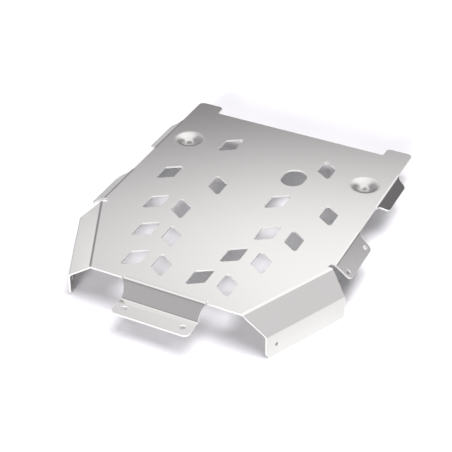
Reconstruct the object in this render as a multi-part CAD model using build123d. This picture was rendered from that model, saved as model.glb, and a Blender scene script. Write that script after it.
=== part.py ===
from build123d import *
import os
from math import atan2, copysign, cos, degrees, hypot, radians, sin, tan

os.makedirs("parts", exist_ok=True)

# Skid plate of a quad bike: one aluminium sheet, cut flat and folded. Sizes in millimetres.
# It is drawn from the outer face of its flat plate, which is Z 0 and looks up: X runs across the
# machine from the plate's centreline, Y along it, and the folded edges turn down to the machine.
# The finished sheet is then moved so that the centre of its recessed bolts is the origin.

# The sheet and its folds
SHEET = 3.0
FOLD_OUTSIDE = 8.0
FOLD_INSIDE = FOLD_OUTSIDE - SHEET

# The flat plate, up to the sharp lines of its folds
HALF_WIDTH = 200.0
NEAR_HALF_WIDTH = 125.4
NEAR_EDGE = -164.5
FAR_EDGE = 321.3
WING_TOP = -4.3
TAB_WIDTH = 45.0
TAB_REACH = 22.0
TAB_OUTER_ROUND = 9.0
TAB_INNER_ROUND = 8.0
TAB_FOOT_ROUND = 3.0

# The leaning vent holes: across, along, and the end that is higher
VENT_WIDTH = 26.0
VENT_SIDE = 36.3
VENT_RISE = 17.0
VENT_ROUND = 3.5
VENTS = (
    (88.2, 235.9, "inner"),
    (141.5, 115.6, "inner"),
    (53.2, 115.6, "outer"),
    (120.0, 30.4, "inner"),
    (75.0, 30.4, "outer"),
    (98.3, -42.3, "inner"),
    (53.2, -42.3, "outer"),
    (76.9, -113.3, "inner"),
    (32.0, -113.3, "outer"),
)

# The drain hole, on one side only
DRAIN_X = 49.2
DRAIN_Y = 189.8
DRAIN_WIDTH = 39.0
DRAIN_LENGTH = 49.8

# The recessed bolt holes, each in a pressed dish
DISH_X = 160.5
DISH_Y = 222.0
DISH_MARGIN = 2.0
DISH_RIM = 17.5
DISH_RIM_ROUND = 22.0
DISH_STRAIGHT = 0.2
DISH_SEAT = 8.5
DISH_SEAT_ROUND = 3.0
DISH_DEPTH = 7.0
DISH_HOLE = 4.3

# The flange at the near edge, which steps down to a level foot
FRONT_HALF = 67.6
FRONT_WAIST = 63.0
FRONT_HOLLOW = 1.8
FRONT_RUN = 17.0
FRONT_DROP = 26.5
FOOT_HALF = 64.6
FOOT_LENGTH = 33.3
FOOT_ROUND = 10.0
FOOT_HOLE = 5.2
FOOT_HOLE_X = 48.0
FOOT_HOLE_REACH = 17.1
FRONT_RELIEF = 2.5

# The slanted wings on both near corners, and their upright lips
WING_RUN = 36.5
WING_DROP = 29.4
WING_NEAR_CUT = 15.3
WING_FAR_CUT = 9.4
LIP_DROP = 38.5
LIP_NEAR_ROUND = 11.0
LIP_FAR_ROUND = 6.0
LIP_HOLE = 3.5
LIP_HOLE_INSET = 20.5
LIP_HOLE_RISE = 18.5

# The slot that parts each wing from the side flange beside it
SLOT_Y = -2.9
SLOT_WIDTH = 9.0
SLOT_DEPTH = 10.0

# The two slanted flanges on each side
SIDE_ROUND = 8.0
SIDE_WEB_ROUND = 8.0
SIDE_WEB_LIP = 0.6
BARE_NEAR = 176.0
BARE_FAR = 266.0
BARE_SLANT = 20.7
BARE_SLOPE = 31.5
BARE_NEAR_CUT = 9.5
BARE_FAR_CUT = 5.0
DRILLED_FAR = 90.5
DRILLED_SLANT = 32.2
DRILLED_SLOPE = 37.0
DRILLED_FAR_CUT = 2.0
DRILLED_HOLE = 4.0
DRILLED_HOLE_NEAR_INSET = 8.9
DRILLED_HOLE_FAR_INSET = 11.5
DRILLED_HOLE_REACH = 22.0

# Angles and lengths that follow from the sizes above
DISH_SLOPE = atan2(DISH_DEPTH, DISH_RIM - DISH_SEAT)
DISH_SLANT = hypot(DISH_DEPTH, DISH_RIM - DISH_SEAT)
DISH_WIDEST_ROUND = (DISH_SLANT - DISH_STRAIGHT) / tan(DISH_SLOPE / 2) - DISH_SEAT_ROUND
DISH_RIM_BEND = min(DISH_RIM_ROUND, DISH_WIDEST_ROUND)
DISH_EDGE = DISH_RIM + DISH_RIM_BEND * tan(DISH_SLOPE / 2) + DISH_MARGIN
FRONT_SLOPE = degrees(atan2(FRONT_DROP, FRONT_RUN))
FRONT_SLANT = hypot(FRONT_RUN, FRONT_DROP)
WING_SLOPE = degrees(atan2(WING_DROP, WING_RUN))
WING_SLANT = hypot(WING_RUN, WING_DROP)
WING_LINE = hypot(HALF_WIDTH - NEAR_HALF_WIDTH, WING_TOP - NEAR_EDGE)
WING_HEADING = degrees(atan2(WING_TOP - NEAR_EDGE, NEAR_HALF_WIDTH - HALF_WIDTH))
SLOT_NEAR = SLOT_Y - SLOT_WIDTH / 2
SLOT_FAR = SLOT_Y + SLOT_WIDTH / 2
WING_END = WING_LINE - (WING_TOP - SLOT_NEAR) / sin(radians(WING_HEADING))

# Frames at the sharp lines of the left folds: local X along the fold, Y outwards, Z off the outer face
FRONT_LINE = Location((0, NEAR_EDGE, 0), (0, 0, 180))
WING_FRAME = Location((-NEAR_HALF_WIDTH, NEAR_EDGE, 0), (0, 0, WING_HEADING))
SIDE_LINE = Location((-HALF_WIDTH, 0, 0), (0, 0, 90))


def rounded(*corners):
    """Face inside corners that are each given as X, Y and corner radius."""
    places = [corner[:2] for corner in corners]
    radii = [corner[2] for corner in corners]
    return make_face(FilletPolyline(*places, radius=radii, close=True).edges())


def both_sides(shape):
    """A left-hand shape with its mirror image on the right."""
    return shape + mirror(shape, about=Plane.YZ)


def fold_radius(angle):
    """Radius of the outer face at a fold; a fold with a negative angle turns up instead of down."""
    return FOLD_OUTSIDE if angle > 0 else FOLD_INSIDE


def setback(angle):
    """Distance on the outer face from a fold's sharp line to the start of its curve."""
    return fold_radius(angle) * tan(radians(abs(angle) / 2))


def fold(line, start, end, angle):
    """Curved sheet of a fold between two places on its line."""
    section = Plane.XZ * Pos((start + end) / 2, -SHEET / 2) * Rectangle(end - start, SHEET)
    turn = Axis((0, 0, -copysign(fold_radius(angle), angle)), (-copysign(1, angle), 0, 0))
    return line * Pos(0, -setback(angle), 0) * revolve(section, turn, abs(angle))


def beyond(line, angle):
    """Frame of the leaf beyond a fold, on the same sharp line."""
    return line * Rot(-angle, 0, 0)


def leaf(frame, face):
    """Flat sheet under a face that is drawn on the outer side of a leaf."""
    return frame * extrude(face, -SHEET)


def fold_gap(line, start, end, angle):
    """The part of the flat plate that the curve of a fold takes the place of."""
    return line * Pos((start + end) / 2, 0) * Rectangle(end - start, 2 * setback(angle))


def vent(x, y, higher):
    """One vent hole with two sides along Y and two leaning sides."""
    lean = -VENT_RISE / 2 if higher == "outer" else VENT_RISE / 2
    half = VENT_WIDTH / 2
    side = VENT_SIDE / 2
    return Pos(-x, y) * rounded(
        (-half, -lean - side, VENT_ROUND),
        (half, lean - side, VENT_ROUND),
        (half, lean + side, VENT_ROUND),
        (-half, -lean + side, VENT_ROUND),
    )


def plate_outline():
    """The plate to its sharp fold lines, with the two tabs at the far corners."""
    tab_inner = -HALF_WIDTH + TAB_WIDTH
    tab_end = FAR_EDGE + TAB_REACH
    left = rounded(
        (0, NEAR_EDGE, 0),
        (0, FAR_EDGE, 0),
        (tab_inner, FAR_EDGE, TAB_FOOT_ROUND),
        (tab_inner, tab_end, TAB_INNER_ROUND),
        (-HALF_WIDTH, tab_end, TAB_OUTER_ROUND),
        (-HALF_WIDTH, WING_TOP, 0),
        (-NEAR_HALF_WIDTH, NEAR_EDGE, 0),
    )
    return both_sides(left)


def relief_slot():
    """Round-ended slot between the wing and the side flange."""
    reach = SLOT_DEPTH + SLOT_WIDTH
    slot = SlotOverall(2 * reach, SLOT_WIDTH)
    return Pos(-HALF_WIDTH - reach + SLOT_DEPTH, SLOT_Y) * slot


def flat_plate():
    """The flat middle of the sheet, pierced, and cut back where the folds begin."""
    face = plate_outline()
    for x, y, higher in VENTS:
        face -= both_sides(vent(x, y, higher))
    face -= Pos(DRAIN_X, DRAIN_Y) * SlotOverall(DRAIN_LENGTH, DRAIN_WIDTH, rotation=90)
    face -= both_sides(Pos(-DISH_X, DISH_Y) * Circle(DISH_EDGE))
    face -= both_sides(relief_slot())
    face -= both_sides(fold_gap(WING_FRAME, 0, WING_END, WING_SLOPE))
    face -= both_sides(fold_gap(SIDE_LINE, SLOT_FAR, drilled_root_end(), DRILLED_SLOPE))
    face -= both_sides(fold_gap(SIDE_LINE, bare_root_start(), bare_root_end(), BARE_SLOPE))
    face -= fold_gap(FRONT_LINE, -FRONT_HALF - FRONT_RELIEF, FRONT_HALF + FRONT_RELIEF, FRONT_SLOPE)
    return extrude(face, -SHEET)


def dish():
    """Round dish pressed down into the sheet, with a bolt hole in its level seat."""
    shift = SHEET * tan(DISH_SLOPE / 2)
    top = [
        (DISH_EDGE, 0, 0),
        (DISH_RIM, 0, DISH_RIM_BEND),
        (DISH_SEAT, -DISH_DEPTH, DISH_SEAT_ROUND),
        (DISH_HOLE, -DISH_DEPTH, 0),
    ]
    under = [
        (DISH_HOLE, -DISH_DEPTH - SHEET, 0),
        (DISH_SEAT + shift, -DISH_DEPTH - SHEET, DISH_SEAT_ROUND + SHEET),
        (DISH_RIM + shift, -SHEET, DISH_RIM_BEND - SHEET),
        (DISH_EDGE, -SHEET, 0),
    ]
    return Pos(-DISH_X, DISH_Y, 0) * revolve(Plane.XZ * rounded(*top, *under), Axis.Z)


def front_flange():
    """Near flange: a steep leaf, a fold back up to level, and a foot with two holes."""
    root = setback(FRONT_SLOPE)
    knee = setback(-FRONT_SLOPE)
    steep = beyond(FRONT_LINE, FRONT_SLOPE)
    foot_line = steep * Pos(0, FRONT_SLANT, 0)
    foot_frame = beyond(foot_line, -FRONT_SLOPE)
    middle = ((FRONT_HALF + FRONT_WAIST) / 2 - FRONT_HOLLOW, FRONT_SLANT / 2)
    end = ThreePointArc((FRONT_HALF, root), middle, (FRONT_WAIST, FRONT_SLANT - knee))
    other_end = mirror(end, about=Plane.YZ)
    across = [Line(end @ 0, other_end @ 0), Line(end @ 1, other_end @ 1)]
    foot = rounded(
        (-FRONT_WAIST, knee, 0),
        (FRONT_WAIST, knee, 0),
        (FOOT_HALF, FOOT_LENGTH, FOOT_ROUND),
        (-FOOT_HALF, FOOT_LENGTH, FOOT_ROUND),
    )
    for x in (-FOOT_HOLE_X, FOOT_HOLE_X):
        foot -= Pos(x, FOOT_HOLE_REACH) * Circle(FOOT_HOLE)
    flange = fold(FRONT_LINE, -FRONT_HALF, FRONT_HALF, FRONT_SLOPE)
    flange += leaf(steep, make_face([end, other_end, *across]))
    flange += fold(foot_line, -FRONT_WAIST, FRONT_WAIST, -FRONT_SLOPE)
    flange += leaf(foot_frame, foot)
    return flange


def wing():
    """Left wing: a slanted leaf that narrows outwards, and an upright lip with one hole."""
    lip_turn = 90 - WING_SLOPE
    start = WING_NEAR_CUT
    end = WING_LINE - WING_FAR_CUT
    root = setback(WING_SLOPE)
    knee = setback(lip_turn)
    slope = beyond(WING_FRAME, WING_SLOPE)
    lip_line = slope * Pos(0, WING_SLANT, 0)
    slanted = rounded(
        (0, root, 0),
        (WING_END, root, 0),
        (end, WING_SLANT - knee, 0),
        (start, WING_SLANT - knee, 0),
    )
    lip = rounded(
        (start, knee, 0),
        (end, knee, 0),
        (end, LIP_DROP, LIP_FAR_ROUND),
        (start, LIP_DROP, LIP_NEAR_ROUND),
    )
    lip -= Pos(start + LIP_HOLE_INSET, LIP_DROP - LIP_HOLE_RISE) * Circle(LIP_HOLE)
    part = fold(WING_FRAME, 0, WING_END, WING_SLOPE)
    part += leaf(slope, slanted)
    part += fold(lip_line, start, end, lip_turn)
    part += leaf(beyond(lip_line, lip_turn), lip)
    return part


def web_length(cut, slant):
    """Length along a fold of the rounded web between a free plate edge and a slanted flange end."""
    return SIDE_WEB_ROUND * tan(atan2(slant, cut) / 2) + SIDE_WEB_LIP


def bare_root_start():
    """Where the fold of the flange without holes begins."""
    return BARE_NEAR - web_length(BARE_NEAR_CUT, BARE_SLANT)


def bare_root_end():
    """Where the fold of the flange without holes ends."""
    return BARE_FAR + web_length(BARE_FAR_CUT, BARE_SLANT)


def drilled_root_end():
    """Where the fold of the flange with holes ends."""
    return DRILLED_FAR + web_length(DRILLED_FAR_CUT, DRILLED_SLANT)


def bare_flange():
    """Left far flange, with rounded webs at both ends and no holes."""
    root = setback(BARE_SLOPE)
    foot = root + SIDE_WEB_LIP
    face = rounded(
        (bare_root_start(), root, 0),
        (bare_root_end(), root, 0),
        (bare_root_end(), foot, 0),
        (BARE_FAR, foot, SIDE_WEB_ROUND),
        (BARE_FAR - BARE_FAR_CUT, BARE_SLANT, SIDE_ROUND),
        (BARE_NEAR + BARE_NEAR_CUT, BARE_SLANT, SIDE_ROUND),
        (BARE_NEAR, foot, SIDE_WEB_ROUND),
        (bare_root_start(), foot, 0),
    )
    flange = fold(SIDE_LINE, bare_root_start(), bare_root_end(), BARE_SLOPE)
    return flange + leaf(beyond(SIDE_LINE, BARE_SLOPE), face)


def drilled_flange():
    """Left near flange, from the slot to a rounded web, with two holes near its edge."""
    root = setback(DRILLED_SLOPE)
    foot = root + SIDE_WEB_LIP
    face = rounded(
        (SLOT_FAR, root, 0),
        (drilled_root_end(), root, 0),
        (drilled_root_end(), foot, 0),
        (DRILLED_FAR, foot, SIDE_WEB_ROUND),
        (DRILLED_FAR - DRILLED_FAR_CUT, DRILLED_SLANT, SIDE_ROUND),
        (SLOT_FAR, DRILLED_SLANT, SIDE_ROUND),
    )
    for y in (SLOT_FAR + DRILLED_HOLE_NEAR_INSET, DRILLED_FAR - DRILLED_HOLE_FAR_INSET):
        face -= Pos(y, DRILLED_HOLE_REACH) * Circle(DRILLED_HOLE)
    flange = fold(SIDE_LINE, SLOT_FAR, drilled_root_end(), DRILLED_SLOPE)
    return flange + leaf(beyond(SIDE_LINE, DRILLED_SLOPE), face)


def skid_plate():
    """The whole sheet, with its origin between the recessed bolts on the face under their seats."""
    sheet = flat_plate() + front_flange()
    for piece in (dish(), wing(), bare_flange(), drilled_flange()):
        sheet += both_sides(piece)
    return Pos(0, -DISH_Y, DISH_DEPTH + SHEET) * sheet


sheet = skid_plate()
sheet.label = "skid_plate"
export_step(sheet, "parts/skid_plate.step")
size = sheet.bounding_box().size
print("solids", len(sheet.solids()), "volume cm3", round(sheet.volume / 1000, 1))
print("size mm", round(size.X, 1), round(size.Y, 1), round(size.Z, 1))
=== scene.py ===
# %% [markdown]
# # A folded aluminium skid plate in a white studio
#
# The object is the guard that is bolted under a quad bike. It is one sheet of aluminium, cut
# flat, pierced and folded, so the whole visual model is one piece of metal. What makes it look
# real is not more parts but the finish of that metal, the thin bright cut edges, and the light
# that it mirrors. All lengths are in metres.

import math

import bmesh
import bpy
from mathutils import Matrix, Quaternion, Vector
from mathutils.bvhtree import BVHTree
from mathutils.geometry import delaunay_2d_cdt


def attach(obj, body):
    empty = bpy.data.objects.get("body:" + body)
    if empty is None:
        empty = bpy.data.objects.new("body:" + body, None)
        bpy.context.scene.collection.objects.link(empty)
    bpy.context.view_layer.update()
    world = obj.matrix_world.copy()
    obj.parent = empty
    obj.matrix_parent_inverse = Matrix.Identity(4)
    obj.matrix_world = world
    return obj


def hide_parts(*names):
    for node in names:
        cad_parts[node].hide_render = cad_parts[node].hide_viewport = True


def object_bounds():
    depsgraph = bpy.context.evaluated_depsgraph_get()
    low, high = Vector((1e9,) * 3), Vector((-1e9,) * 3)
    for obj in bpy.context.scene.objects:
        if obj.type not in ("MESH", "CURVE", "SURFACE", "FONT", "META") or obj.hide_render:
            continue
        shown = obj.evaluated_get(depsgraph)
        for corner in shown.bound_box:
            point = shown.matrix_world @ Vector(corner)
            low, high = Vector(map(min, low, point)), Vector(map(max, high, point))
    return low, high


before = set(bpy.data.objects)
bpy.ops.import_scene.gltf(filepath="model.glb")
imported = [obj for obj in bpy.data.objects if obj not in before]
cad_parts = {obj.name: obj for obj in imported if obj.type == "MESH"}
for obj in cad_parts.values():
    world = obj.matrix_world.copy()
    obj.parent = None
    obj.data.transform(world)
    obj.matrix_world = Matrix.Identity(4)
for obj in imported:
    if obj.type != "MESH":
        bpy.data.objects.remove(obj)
cad_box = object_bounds()
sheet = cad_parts["skid_plate"]
low, high = cad_box
print("nodes:", sorted(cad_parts))
print("size in mm:", [round(1000 * side, 1) for side in high - low])

# %% [markdown]
# ## The camera
#
# The photograph looks down at the plate from its near right corner with a long lens. The eye and
# the point it looks at were solved from the mirror symmetry of the hole pattern, and the focal
# length comes from the same sum, in pixels of a square picture. Blender wants it in millimetres
# on its sensor.

# %% Camera
PICTURE_SIDE = 452
FOCAL_PIXELS = 1278.1
EYE = Vector((0.7208, -1.6526, 1.1573))
LOOKED_AT = Vector((0.0096, -0.2033, 0.0100))
ROLL = math.radians(0.19)
FARTHEST_SEEN = 100

bpy.ops.object.camera_add(location=EYE)
camera = bpy.context.object
camera.data.lens = camera.data.sensor_width * FOCAL_PIXELS / PICTURE_SIDE
camera.rotation_mode = "QUATERNION"
level_turn = (LOOKED_AT - EYE).to_track_quat("-Z", "Y")
camera.rotation_quaternion = level_turn @ Quaternion((0, 0, 1), ROLL)
camera.data.clip_end = FARTHEST_SEEN
bpy.context.scene.camera = camera
print("lens in mm:", round(camera.data.lens, 1))

# %% [markdown]
# ## Writing shaders as sums
#
# A shader is a net of nodes, but its arithmetic reads better as Python. This class holds one
# output of a node. Adding or multiplying two of them adds the Math node that does it, and `node`
# adds any other kind: its settings are set first, because they can change its sockets, and then
# its sockets. Two functions empty the node tree of a world or a material and end it with its
# output node.


# %% Shader helper
class Link:
    """One output of a shader node, which can be used in sums."""

    def __init__(self, socket):
        self.socket = socket

    @classmethod
    def node(cls, tree, kind, settings=None, inputs=None, output=0):
        """A new node's output, after its settings and then its sockets are set."""
        made = tree.nodes.new(kind)
        for name, value in (settings or {}).items():
            if name == "stops":
                cls.set_stops(made.color_ramp, value)
            else:
                setattr(made, name, value)
        for name, value in (inputs or {}).items():
            if isinstance(value, Link):
                tree.links.new(value.socket, made.inputs[name])
            else:
                made.inputs[name].default_value = value
        return cls(made.outputs[output])

    @staticmethod
    def set_stops(ramp, stops):
        """Places a ramp's stops, given as position and grey value."""
        while len(ramp.elements) < len(stops):
            ramp.elements.new(1)
        for element, (place, grey) in zip(ramp.elements, stops):
            element.position = place
            element.color = (grey, grey, grey, 1)

    def math(self, operation, first, second):
        """The Math node that does one operation."""
        return Link.node(
            self.socket.id_data, "ShaderNodeMath", {"operation": operation}, {0: first, 1: second}
        )

    def __add__(self, other):
        return self.math("ADD", self, other)

    def __radd__(self, other):
        return self.math("ADD", other, self)

    def __sub__(self, other):
        return self.math("SUBTRACT", self, other)

    def __rsub__(self, other):
        return self.math("SUBTRACT", other, self)

    def __mul__(self, other):
        return self.math("MULTIPLY", self, other)

    def __rmul__(self, other):
        return self.math("MULTIPLY", other, self)

    def __pow__(self, other):
        return self.math("POWER", self, other)

    def rise(self, low, high):
        """Goes softly from 0 at low to 1 at high; low may be the larger one."""
        return Link.node(
            self.socket.id_data,
            "ShaderNodeMapRange",
            {"interpolation_type": "SMOOTHSTEP"},
            {"Value": self, "From Min": low, "From Max": high},
        )

    def ramp(self, stops):
        """Grey value by straight lines between stops of place and grey."""
        first, last = stops[0][0], stops[-1][0]
        shares = [((at - first) / (last - first), grey) for at, grey in stops]
        share = Link.node(
            self.socket.id_data,
            "ShaderNodeMapRange",
            inputs={"Value": self, "From Min": first, "From Max": last},
        )
        return Link.node(self.socket.id_data, "ShaderNodeValToRGB", {"stops": shares}, {0: share})

    def at_least(self, other):
        return self.math("MAXIMUM", self, other)

    def at_most(self, other):
        return self.math("MINIMUM", self, other)


def empty_tree(owner):
    """The node tree of a world or a material, with no nodes in it."""
    owner.use_nodes = True
    owner.node_tree.nodes.clear()
    return owner.node_tree


def end_tree(tree, kind, surface):
    """Adds a tree's output node, shows the surface through it and prints the tree's size."""
    output = tree.nodes.new(kind)
    tree.links.new(surface.socket, output.inputs["Surface"])
    print("nodes in the tree:", len(tree.nodes))


print("shader helper ready")

# %% [markdown]
# ## The sheet with softened edges
#
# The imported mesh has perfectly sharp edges, and a real cut edge never has: its tiny round catches
# the light as a thin line around every hole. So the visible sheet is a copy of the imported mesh.
# Its triangles are joined at shared corners first. Then each one is sorted: a ray sent inwards
# from the skin of the sheet leaves on the other side after exactly one sheet thickness, and from
# a cut edge it doesn't.

# %% Sheet skin and cut edges
SHEET_THICKNESS = 0.003
THICKNESS_SLACK = 0.0002
JOIN_DISTANCE = 0.000001
RAY_START = 0.00001
SKIN_SLOT, CUT_SLOT = 0, 1

plate = bpy.data.objects.new("bare_sheet", sheet.data.copy())
bpy.context.collection.objects.link(plate)
bpy.ops.object.select_all(action="DESELECT")
plate.select_set(True)
bpy.context.view_layer.objects.active = plate
bpy.ops.mesh.customdata_custom_splitnormals_clear()
bpy.ops.object.mode_set(mode="EDIT")
bpy.ops.mesh.select_all(action="SELECT")
bpy.ops.mesh.remove_doubles(threshold=JOIN_DISTANCE)
bpy.ops.object.mode_set(mode="OBJECT")

skin = bpy.data.materials.new("brushed aluminium")
cut = bpy.data.materials.new("cut aluminium edge")
plate.data.materials.clear()
plate.data.materials.append(skin)
plate.data.materials.append(cut)
tree = BVHTree.FromPolygons(
    [vertex.co for vertex in plate.data.vertices],
    [tuple(face.vertices) for face in plate.data.polygons],
)
cut_faces = 0
for face in plate.data.polygons:
    inside = face.center - RAY_START * face.normal
    depth = tree.ray_cast(inside, -face.normal)[3] or 0
    is_skin = abs(depth - SHEET_THICKNESS) < THICKNESS_SLACK
    face.material_index = SKIN_SLOT if is_skin else CUT_SLOT
    cut_faces += not is_skin
print("faces:", len(plate.data.polygons), "of them cut edges:", cut_faces)

# %% [markdown]
# Flat areas are joined into single faces, so that the bevel runs along clean borders. Each sharp
# edge gets a round of a third of a millimetre, made of the cut edge's metal. At the ends of the
# near fold the bevel leaves tiny points above the plate, and they are pressed back into its
# plane.

# %% Soft edges
EDGE_ROUND = 0.00035
ROUND_SEGMENTS = 2
FLAT_ANGLE = math.radians(0.5)
SHARP_ANGLE = math.radians(45)

bpy.ops.object.mode_set(mode="EDIT")
bpy.ops.mesh.select_all(action="SELECT")
bpy.ops.mesh.dissolve_limited(angle_limit=FLAT_ANGLE, delimit={"MATERIAL"})
bpy.ops.object.mode_set(mode="OBJECT")
bevel = plate.modifiers.new("edge round", "BEVEL")
bevel.width = EDGE_ROUND
bevel.segments = ROUND_SEGMENTS
bevel.limit_method = "ANGLE"
bevel.angle_limit = SHARP_ANGLE
bevel.use_clamp_overlap = False
bevel.material = CUT_SLOT
bpy.ops.object.modifier_apply(modifier=bevel.name)
mesh = plate.data
for vertex in mesh.vertices:
    vertex.co.z = min(vertex.co.z, high.z)
print("faces after the bevel:", len(mesh.polygons))

# %% [markdown]
# ## Flat faces cut into triangles
#
# A flat face with many corners is drawn as triangles anyway. Where corners of several holes lie
# in one line, the bevel leaves borders that cross each other by a hair, and the triangles made by
# default overlap there. So each such face is cut by a Delaunay triangulation, which adds a point
# at each crossing. A triangle that a neighbour has already given isn't added twice.

# %% Triangles
MOST_CORNERS = 4
SAME_POINT = 1e-8
INSIDE_ONLY = 1

work = bmesh.new()
work.from_mesh(mesh)
cut_up = []
crossings = 0
for face in [one for one in work.faces if len(one.verts) > MOST_CORNERS]:
    side = face.normal.orthogonal().normalized()
    other = face.normal.cross(side)
    corners = list(face.verts)
    flat = [Vector((corner.co.dot(side), corner.co.dot(other))) for corner in corners]
    origin = corners[0].co - side * flat[0].x - other * flat[0].y
    outline = list(range(len(corners)))
    points, _, triangles, sources, _, _ = delaunay_2d_cdt(
        flat, [], [outline], INSIDE_ONLY, SAME_POINT
    )
    found = []
    for point, source in zip(points, sources):
        if source:
            found.append(corners[source[0]])
        else:
            found.append(work.verts.new(origin + side * point.x + other * point.y))
            crossings += 1
    for triangle in triangles:
        three = [found[index] for index in triangle]
        if work.faces.get(three) is None:
            work.faces.new(three).material_index = face.material_index
    cut_up.append(face)
bmesh.ops.delete(work, geom=cut_up, context="FACES_ONLY")
work.to_mesh(mesh)
work.free()
print(len(cut_up), "faces cut into triangles, with", crossings, "crossings")

# %% [markdown]
# ## Flat faces that mirror without creases
#
# First the folds and rounded edges are shaded smooth. Weighted normals let the large faces decide
# how the small ones beside them lean.

# %% Smooth shading
bpy.ops.object.shade_smooth_by_angle(angle=SHARP_ANGLE)
weighted = plate.modifiers.new("flat faces", "WEIGHTED_NORMAL")
weighted.keep_sharp = True
bpy.ops.object.modifier_apply(modifier=weighted.name)
print("faces shaded smooth:", sum(face.use_smooth for face in mesh.polygons))

# %% [markdown]
# The metal mirrors soft lights with long gradients, so a corner normal that is off by a tenth of
# a degree shows as a faint crease across the flat plate. The wide faces tell the flat planes of
# the sheet. Faces in such a plane are shaded flat. Every other corner that touches the plane and
# already points nearly its way gets the plane's normal, so that folds and rounded edges run
# smoothly out of flat metal.

# %% Flat faces
WIDE_FACE = 0.0012
SAME_TURN = 1 - 5e-7
SAME_DEPTH = 0.00002
NEAR_TURN = math.cos(math.radians(20))


def border_length(face):
    """The length of the border of one face."""
    points = [mesh.vertices[index].co for index in face.vertices]
    return sum((b - a).length for a, b in zip(points, points[1:] + points[:1]))


def normal_of_plane(face, planes):
    """The normal of the first known plane that holds a face, or None."""
    face_depth = face.normal.dot(face.center)
    for normal, depth in planes:
        if face.normal.dot(normal) > SAME_TURN and abs(depth - face_depth) < SAME_DEPTH:
            return normal
    return None


planes = []
for face in sorted(mesh.polygons, key=lambda one: -one.area):
    is_new = normal_of_plane(face, planes) is None
    if is_new and face.area / border_length(face) > WIDE_FACE:
        planes.append((face.normal.copy(), face.normal.dot(face.center)))
flat_normal = {}
touching = {}
for face in mesh.polygons:
    normal = normal_of_plane(face, planes)
    if normal is not None:
        flat_normal[face.index] = normal
        for index in face.vertices:
            touching.setdefault(index, []).append(normal)
corner_normals = [corner.vector.copy() for corner in mesh.corner_normals]
for face in mesh.polygons:
    face.use_smooth = face.index not in flat_normal
    for corner in face.loop_indices:
        near = touching.get(mesh.loops[corner].vertex_index, [])
        if face.index in flat_normal:
            corner_normals[corner] = flat_normal[face.index]
        elif near:
            closest = max(near, key=lambda normal: normal.dot(corner_normals[corner]))
            if closest.dot(corner_normals[corner]) > NEAR_TURN:
                corner_normals[corner] = closest
mesh.normals_split_custom_set(corner_normals)
print(len(planes), "flat planes,", len(flat_normal), "faces in them")

# %% [markdown]
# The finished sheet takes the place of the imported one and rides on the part's only body.

# %% Hand the sheet over
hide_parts("skid_plate")
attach(plate, "root")
print("the sheet replaces the part's own mesh")

# %% [markdown]
# ## The studio that the metal mirrors
#
# Bare metal has almost no colour of its own: it shows what stands around it. The photograph's
# plate is grey at its far left corner and nearly white near the camera, because it mirrors the
# lower edge of a large soft light behind it. So glossy rays see a world that is put together from
# a few soft lights in certain directions, and a dark gap between them. X is across, Y is away
# from the camera, Z is up, and an edge below gives the two values of one of them where a light
# starts and where it is full. The camera sees this world as plain white, and the matt paper gets
# only a faint even fill from it.
#
# - The back light fills the upper half behind the plate. Its lower edge makes the long gradient.
# - The overhead light gives the bright lines along the folds.
# - The right reflector lights the right wing. Its left edge runs along the drilled right flange.
# - The space behind the camera is a dull grey, which the front leaf shows.
# - Low on the far left, a bright wall shows in the left wing.

# %% World
GAP_LIGHT = 0.16
LEFT_GAP_LIGHT = 0.16
LIGHT_TINT = (1.0, 0.992, 0.982, 1)
GAP_TINT = (0.97, 0.93, 0.98, 1)
BACK_STOPS = (
    (0.45, 0.06),
    (0.47, 0.07),
    (0.50, 0.17),
    (0.51, 0.28),
    (0.52, 0.41),
    (0.53, 0.58),
    (0.54, 0.71),
    (0.555, 0.89),
    (0.57, 1.04),
    (0.59, 1.11),
    (0.62, 1.14),
)
BACK_NEAR_EDGE = (-0.05, 0.2)
BACK_LEFT_END = -0.80
BACK_LEFT_FULL = -0.335
BACK_LEFT_LEAN = 0.12
BACK_LEFT_LEAN_EDGE = (0.604, 0.652)
BACK_RIGHT_EDGE = (0.55, -0.25)
BACK_RIGHT_LEAN = 2.4
BACK_RIGHT_LEAN_FROM = 0.50
OVERHEAD_EDGE = (0.71, 0.86)
RIGHT_LIGHT = 0.70
RIGHT_LOW_LIGHT = 0.25
RIGHT_LOW_EDGE = (0.30, 0.05)
RIGHT_EDGE = (0.44, 0.52)
RIGHT_HIGH_EDGE = (0.22, 0.38)
RIGHT_FAR_EDGE = (0.65, 0.45)
LEFT_LIGHT = 1.06
LEFT_EDGE = (-0.84, -0.885)
LEFT_TOP_EDGE = (0.30, 0.18)
BEHIND_LIGHT = 0.67
BEHIND_FADE = 0.50
BEHIND_EDGE = (-0.15, -0.45)
LEFT_GAP_EDGE = (-0.45, -0.60)
FILL = 0.03
WHITE = (1, 1, 1, 1)
MIX_COLOUR_A, MIX_COLOUR_B, MIX_COLOUR_OUT = 6, 7, 2

world = bpy.data.worlds.new("studio")
bpy.context.scene.world = world
world_tree = empty_tree(world)
direction = Link.node(world_tree, "ShaderNodeTexCoord", output="Generated")
across, along, upward = (
    Link.node(world_tree, "ShaderNodeSeparateXYZ", inputs={0: direction}, output=axis)
    for axis in "XYZ"
)
leaning_left = across - BACK_LEFT_LEAN * upward.rise(*BACK_LEFT_LEAN_EDGE)
back_left = (leaning_left - BACK_LEFT_END) * (1 / (BACK_LEFT_FULL - BACK_LEFT_END))
leaning_right = across - BACK_RIGHT_LEAN * (upward - BACK_RIGHT_LEAN_FROM)
back_width = back_left.at_least(0.0).at_most(1.0) * leaning_right.rise(*BACK_RIGHT_EDGE)
back = upward.ramp(BACK_STOPS) * back_width * along.rise(*BACK_NEAR_EDGE)
overhead = upward.rise(*OVERHEAD_EDGE)
right_light = RIGHT_LIGHT + RIGHT_LOW_LIGHT * upward.rise(*RIGHT_LOW_EDGE)
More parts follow.
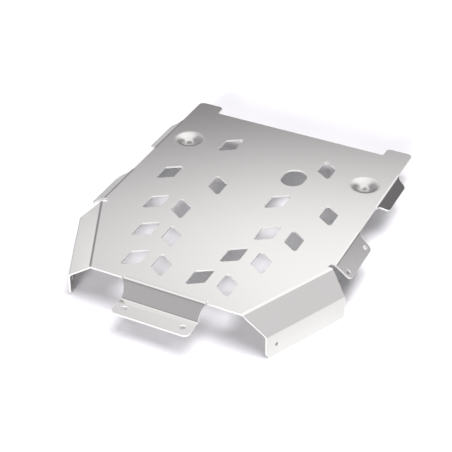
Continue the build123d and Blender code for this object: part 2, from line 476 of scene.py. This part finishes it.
right_reach = upward.rise(*RIGHT_HIGH_EDGE).at_least(along.rise(*RIGHT_FAR_EDGE))
right = across.rise(*RIGHT_EDGE) * right_light * right_reach
left = LEFT_LIGHT * across.rise(*LEFT_EDGE) * upward.rise(*LEFT_TOP_EDGE)
behind = (BEHIND_LIGHT - BEHIND_FADE * upward) * along.rise(*BEHIND_EDGE)
gap = GAP_LIGHT + LEFT_GAP_LIGHT * across.rise(*LEFT_GAP_EDGE)
lights = back.at_least(overhead).at_least(right).at_least(left).at_least(behind)
mirrored = lights.at_least(gap)
mirrored_colour = Link.node(
    world_tree,
    "ShaderNodeMix",
    {"data_type": "RGBA"},
    {0: mirrored, MIX_COLOUR_A: GAP_TINT, MIX_COLOUR_B: LIGHT_TINT},
    output=MIX_COLOUR_OUT,
)
rays = {
    name: Link.node(world_tree, "ShaderNodeLightPath", output=name)
    for name in ("Is Camera Ray", "Is Transmission Ray", "Is Glossy Ray")
}
seen, glossy, fill = (
    Link.node(world_tree, "ShaderNodeBackground", inputs={"Color": colour, "Strength": strength})
    for colour, strength in ((WHITE, 1.0), (mirrored_colour, mirrored), (WHITE, FILL))
)
lit = Link.node(
    world_tree, "ShaderNodeMixShader", inputs={0: rays["Is Glossy Ray"], 1: fill, 2: glossy}
)
whole = Link.node(
    world_tree,
    "ShaderNodeMixShader",
    inputs={0: rays["Is Camera Ray"].at_least(rays["Is Transmission Ray"]), 1: lit, 2: seen},
)
end_tree(world_tree, "ShaderNodeOutputWorld", whole)

# %% [markdown]
# ## Soft lamps
#
# The floor shows how the light falls. The patches under the vent holes are blurred by several
# centimetres and lie only a little to the left of the holes, so the main light is very wide and
# almost straight overhead. Weaker lights come in low from the near side, the left and the right
# and lift the shadow's edges. All are suns, which light the whole floor evenly. A row below gives
# a lamp's name, its heading, height and width in degrees, and the share of the open floor's light
# that it gives. The metal doesn't mirror the lamps, because the world already shows it its
# lights.

# %% Lamps
LAMPS = (
    ("main lamp", 102, 79, 39, 0.87),
    ("near low lamp", 172, 12, 20, 0.26),
    ("left low lamp", 270, 12, 20, 0.055),
    ("right low lamp", 90, 12, 20, 0.06),
)
LAMP_DISTANCE = 3

for name, heading, height, width, share in LAMPS:
    turn, lift = math.radians(heading), math.radians(height)
    level = math.cos(lift)
    towards = Vector((math.sin(turn) * level, math.cos(turn) * level, math.sin(lift)))
    bpy.ops.object.select_all(action="DESELECT")
    bpy.ops.object.light_add(type="SUN", location=LAMP_DISTANCE * towards)
    lamp = bpy.context.object
    lamp.name = name
    lamp.data.energy = share * math.pi / towards.z
    lamp.data.angle = math.radians(width)
    lamp.rotation_mode = "QUATERNION"
    lamp.rotation_quaternion = (-towards).to_track_quat("-Z", "Y")
    lamp.visible_glossy = False
    print(name, "from", [round(part, 2) for part in towards])

# %% [markdown]
# ## The floor
#
# The plate stands on the lower edges of its two lips, so the floor lies at its lowest point. It
# is white paper. Under the lips it is level, and behind them it lifts gently, as paper does where
# it starts to curve up to a backdrop: that is why the shadow under the far vents is as dark as
# under the middle. The paper is an edge that is extruded away from the camera in steps.

# %% Floor
FLOOR_HALF = 20
LIFT_FROM = -0.2502
LIFT_TO = 0.35
LIFT = 0.031
LIFT_STEPS = 24
PAPER_COLOUR = (0.905, 0.89, 0.93, 1)

bpy.ops.object.select_all(action="DESELECT")
bpy.ops.mesh.primitive_plane_add(size=2 * FLOOR_HALF, location=(0, 0, 0))
floor = bpy.context.object
floor.name = "paper floor"
bpy.ops.object.mode_set(mode="EDIT")
bpy.ops.mesh.select_all(action="DESELECT")
bpy.ops.object.mode_set(mode="OBJECT")
for vertex in floor.data.vertices:
    is_far = vertex.co.y > 0
    vertex.co.y = LIFT_FROM if is_far else -FLOOR_HALF
    vertex.co.z = low.z
    vertex.select = is_far
for edge in floor.data.edges:
    edge.select = all(floor.data.vertices[end].select for end in edge.vertices)
bpy.ops.object.mode_set(mode="EDIT")
bpy.ops.mesh.select_mode(type="EDGE")
forward = (LIFT_TO - LIFT_FROM) / LIFT_STEPS
risen = 0.0
for step in range(1, LIFT_STEPS + 1):
    part = step / LIFT_STEPS
    next_risen = LIFT * part * part * (3 - 2 * part)
    bpy.ops.mesh.extrude_region_move(
        TRANSFORM_OT_translate={"value": (0, forward, next_risen - risen)}
    )
    risen = next_risen
bpy.ops.mesh.extrude_region_move(TRANSFORM_OT_translate={"value": (0, FLOOR_HALF, 0)})
bpy.ops.mesh.select_all(action="SELECT")
bpy.ops.mesh.normals_make_consistent(inside=False)
bpy.ops.object.mode_set(mode="OBJECT")
if floor.data.polygons[0].normal.z < 0:
    floor.data.flip_normals()
bpy.ops.object.shade_smooth()
steepest = min(face.normal.z for face in floor.data.polygons)
print("floor rises by mm:", round(1000 * risen, 1), "upward part where steepest:", steepest)

# %% [markdown]
# The paper is matt and comes out as plain white in the picture. The metal mirrors a shaded copy of
# it: painted shade makes the paper a little greyer there, and greyer still towards its left side,
# which the left flanges mirror.

# %% Paper
MIRRORED_PAPER_SHADE = 0.75
MIRRORED_LEFT_SHADE = 0.44
PAPER_SHADE_FROM = -0.22
PAPER_SHADE_FULL = -0.30

paper = bpy.data.materials.new("white paper")
paper_tree = empty_tree(paper)
paper_place = Link.node(paper_tree, "ShaderNodeTexCoord", output="Object")
paper_across = Link.node(paper_tree, "ShaderNodeSeparateXYZ", inputs={0: paper_place}, output="X")
in_mirror = Link.node(paper_tree, "ShaderNodeLightPath", output="Is Glossy Ray")
# Painted shade: the mirrored paper grows greyer towards the left.
left_paper_shade = paper_across.rise(PAPER_SHADE_FROM, PAPER_SHADE_FULL)
painted_shade_grey = MIRRORED_PAPER_SHADE + (MIRRORED_LEFT_SHADE - MIRRORED_PAPER_SHADE) * left_paper_shade
white_paper = Link.node(paper_tree, "ShaderNodeBsdfDiffuse", inputs={"Color": PAPER_COLOUR})
# A shaded copy of the paper, seen only in the metal's mirror.
painted_shade_paper = Link.node(paper_tree, "ShaderNodeBsdfDiffuse", inputs={"Color": painted_shade_grey})
paper_surface = Link.node(
    paper_tree, "ShaderNodeMixShader", inputs={0: in_mirror, 1: white_paper, 2: painted_shade_paper}
)
end_tree(paper_tree, "ShaderNodeOutputMaterial", paper_surface)
floor.data.materials.append(paper)
print("floor height in mm:", round(1000 * low.z, 1))

# %% [markdown]
# ## The metal
#
# The sheet is bare aluminium with a fine brushed grain that runs across it. The grain is a noise
# that is stretched along X, read from the object's own coordinates in metres. It changes the
# roughness a little and lifts the surface by less than a hundredth of a millimetre. The two
# pressed dishes are duller than the rest.

# %% Aluminium
METAL_COLOUR = (0.875, 0.868, 0.860, 1)
GRAIN_SCALE = (14.0, 900.0, 900.0)
ROUGHNESS = 0.14
ROUGHNESS_GRAIN = 0.05
DISH_X = 0.1605
DISH_FULL = 0.018
DISH_END = 0.030
DISH_ROUGHNESS = 0.20
GRAIN_DETAIL = 3.0
GRAIN_HEIGHT = 0.00003
BUMP_STRENGTH = 0.2

metal_tree = empty_tree(skin)
place = Link.node(metal_tree, "ShaderNodeTexCoord", output="Object")
stretched = Link.node(
    metal_tree, "ShaderNodeMapping", inputs={"Vector": place, "Scale": GRAIN_SCALE}
)
grain = Link.node(
    metal_tree,
    "ShaderNodeTexNoise",
    inputs={"Vector": stretched, "Scale": 1.0, "Detail": GRAIN_DETAIL},
)
place_across, place_along = (
    Link.node(metal_tree, "ShaderNodeSeparateXYZ", inputs={0: place}, output=axis) for axis in "XY"
)
from_dish = place_across.at_least(-1.0 * place_across) - DISH_X
dish_distance = (from_dish * from_dish + place_along * place_along) ** 0.5
pressed = dish_distance.rise(DISH_END, DISH_FULL)
bump = Link.node(
    metal_tree,
    "ShaderNodeBump",
    inputs={"Strength": BUMP_STRENGTH, "Distance": GRAIN_HEIGHT, "Height": grain},
)
roughness = ROUGHNESS + ROUGHNESS_GRAIN * (grain - 0.5) + DISH_ROUGHNESS * pressed
metal_surface = Link.node(
    metal_tree,
    "ShaderNodeBsdfPrincipled",
    inputs={
        "Base Color": METAL_COLOUR,
        "Metallic": 1.0,
        "Roughness": roughness,
        "Normal": bump,
    },
)
end_tree(metal_tree, "ShaderNodeOutputMaterial", metal_surface)

# %% [markdown]
# Where the sheet was cut, the metal is finely rough and pale, so it scatters the light instead of
# mirroring the room.

# %% Cut edges
CUT_COLOUR = (0.80, 0.795, 0.79, 1)
CUT_METALLIC = 0.5
CUT_ROUGHNESS = 0.4

cut_tree = empty_tree(cut)
cut_surface = Link.node(
    cut_tree,
    "ShaderNodeBsdfPrincipled",
    inputs={"Base Color": CUT_COLOUR, "Metallic": CUT_METALLIC, "Roughness": CUT_ROUGHNESS},
)
end_tree(cut_tree, "ShaderNodeOutputMaterial", cut_surface)

# %% [markdown]
# ## Finish
#
# Colours are shown as they are.

# %% Finish
bpy.context.scene.view_settings.view_transform = "Standard"
